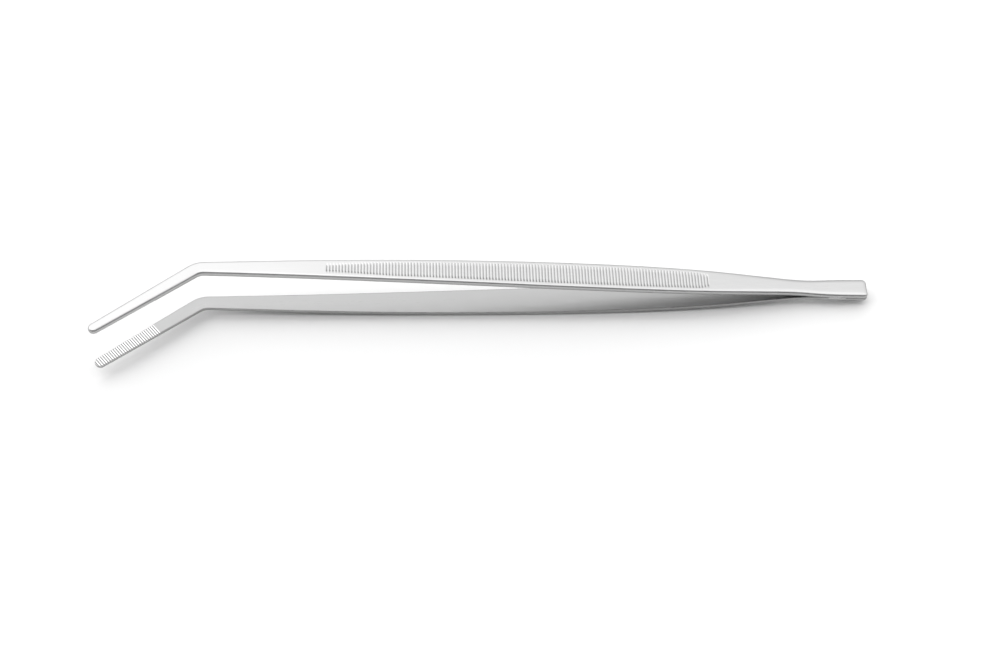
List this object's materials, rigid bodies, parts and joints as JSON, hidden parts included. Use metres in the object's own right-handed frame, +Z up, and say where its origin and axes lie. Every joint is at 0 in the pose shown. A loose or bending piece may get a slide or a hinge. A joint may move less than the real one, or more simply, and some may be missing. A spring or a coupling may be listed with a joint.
{
  "type": "long slant-jaw tweezers",
  "caption": "Long stainless tweezers with bowed spring arms welded at the butt, ribbed grips, and narrow cross-cut jaws bent sideways.",
  "frame": {"origin": "on the table, under the centre of the bounding box, as the tweezers lie on the belly of the lower arm", "axes": "+X along the arms from the jaws to the welded butt, +Y away from the side the jaws bend to, +Z up"},
  "size_m": [0.2993, 0.0373, 0.0287],
  "materials": {
    "satin_steel": "satin brushed stainless",
    "weld_steel": "bright weld metal"
  },
  "bodies": {
    "head": {"upper_arm_root": "satin_steel", "lower_arm_root": "satin_steel", "weld_beads": "weld_steel"},
    "upper_arm": {"upper_arm": "satin_steel"},
    "lower_arm": {"lower_arm": "satin_steel"}
  },
  "joints": [
    {"name": "upper_arm_flex", "type": "hinge", "parent": "head", "child": "upper_arm", "pos_m": [0.10185, 0.01242, 0.00905], "axis": [0, -1, 0], "range_deg": [0, 2.27], "stiffness_Nm_per_rad": 15},
    {"name": "lower_arm_flex", "type": "hinge", "parent": "head", "child": "lower_arm", "pos_m": [0.10157, 0.01242, 0.00253], "axis": [0, 1, 0], "range_deg": [0, 2.27], "stiffness_Nm_per_rad": 15}
  ],
  "couplings": [
    {"joint": "lower_arm_flex", "follows": "upper_arm_flex", "ratio": 1}
  ]
}
